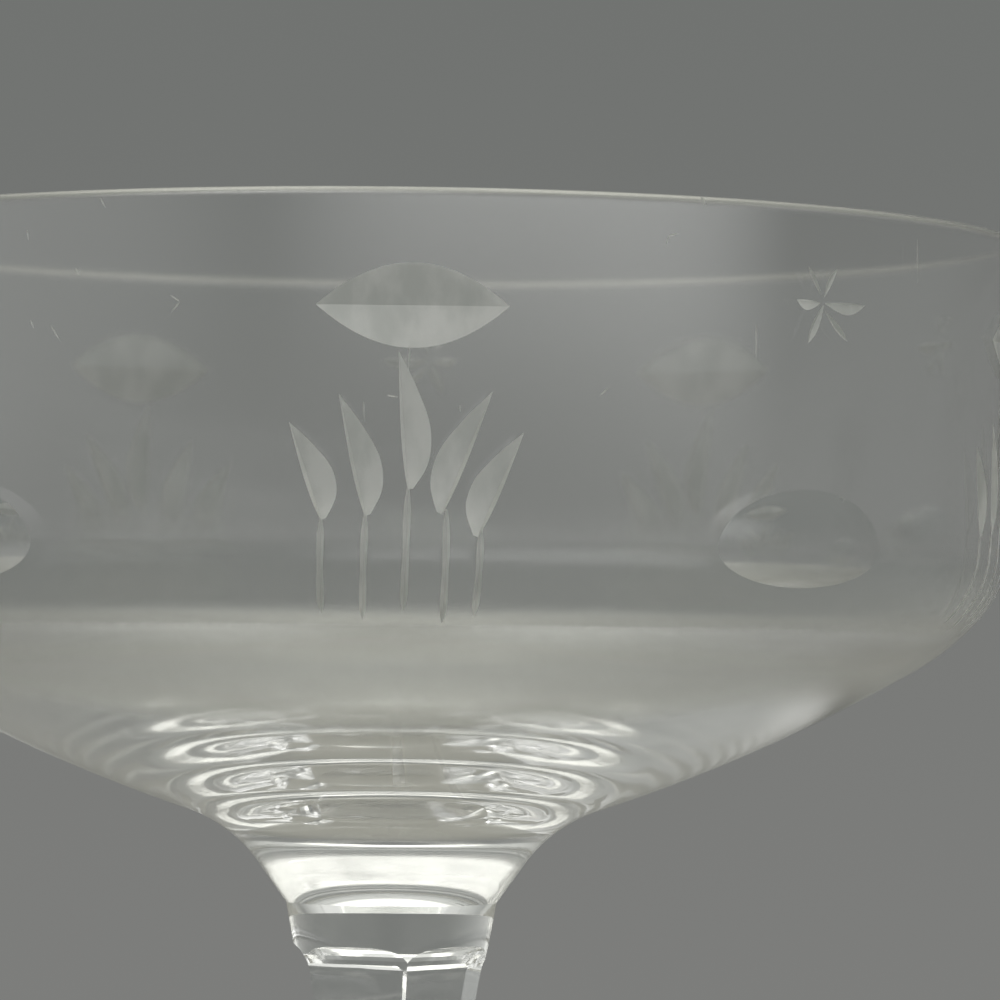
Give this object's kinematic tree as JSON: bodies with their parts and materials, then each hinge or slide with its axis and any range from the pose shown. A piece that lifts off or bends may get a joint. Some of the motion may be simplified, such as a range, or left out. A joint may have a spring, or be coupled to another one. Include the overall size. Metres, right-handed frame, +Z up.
{
  "type": "coupe glass",
  "caption": "Stemmed coupe glass with a broad shallow bowl, wheel-cut leaf, eye, lens and star decoration, a flat-sided stem and a round foot.",
  "frame": {"origin": "middle of the circle that the foot stands on", "axes": "+Z up along the axis of the glass, -Y towards the cut fan of leaves that the picture shows at the front, +X to the right of that view"},
  "size_m": [0.096, 0.096, 0.12],
  "materials": {
    "clear_glass": "clear fire-polished glass, with softly ground facets in the wheel cuts"
  },
  "bodies": {
    "root": {"bowl": "clear_glass", "stem": "clear_glass", "foot": "clear_glass"}
  },
  "joints": []
}
